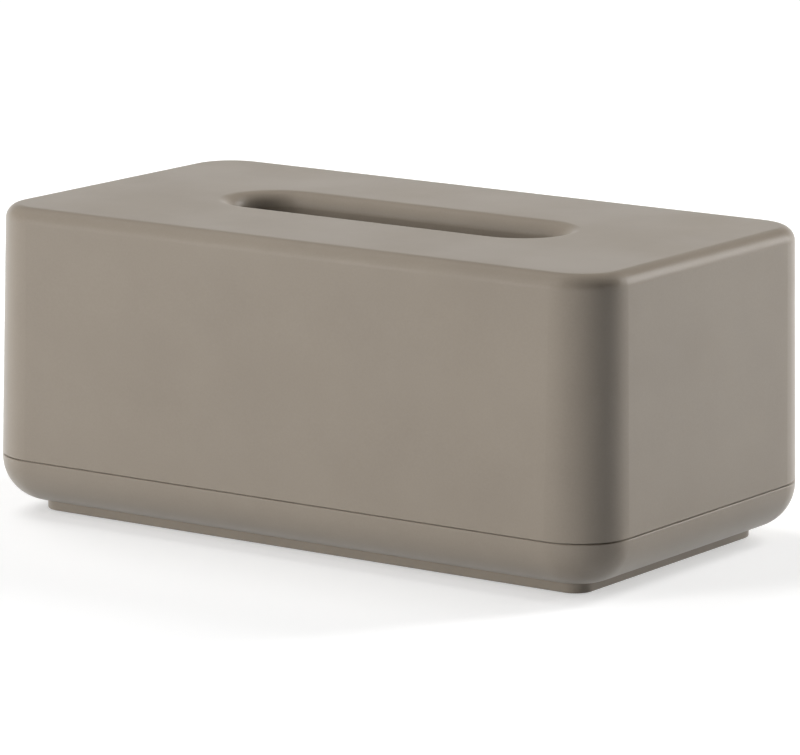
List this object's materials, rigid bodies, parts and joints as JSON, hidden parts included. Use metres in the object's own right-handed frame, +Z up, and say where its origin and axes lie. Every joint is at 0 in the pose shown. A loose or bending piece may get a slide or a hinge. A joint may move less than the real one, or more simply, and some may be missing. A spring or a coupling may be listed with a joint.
{
  "type": "tissue box",
  "caption": "Rectangular tissue box: a drafted lift-off cover with a collared dispensing slot, on a shallow round-bottomed base tray with an inset plinth.",
  "frame": {"origin": "on the table, under the middle of the box, in the plane of the undersides of the pads", "axes": "+X along the length, -Y towards the long front face, +Z up out of the dispensing slot"},
  "size_m": [0.245, 0.136, 0.1045],
  "materials": {
    "shell_plastic": "satin, soft-touch",
    "tray_plastic": "satin, soft-touch",
    "pad_rubber": "matt"
  },
  "bodies": {
    "base": {"base_tray": "tray_plastic", "foot_pad_front_left": "pad_rubber", "foot_pad_front_right": "pad_rubber", "foot_pad_back_right": "pad_rubber", "foot_pad_back_left": "pad_rubber"},
    "lift_off_cover": {"cover": "shell_plastic"}
  },
  "joints": [
    {"name": "cover_lift", "type": "slide", "parent": "base", "child": "lift_off_cover", "axis": [0, 0, 1], "range_m": [0, 0.11]}
  ]
}
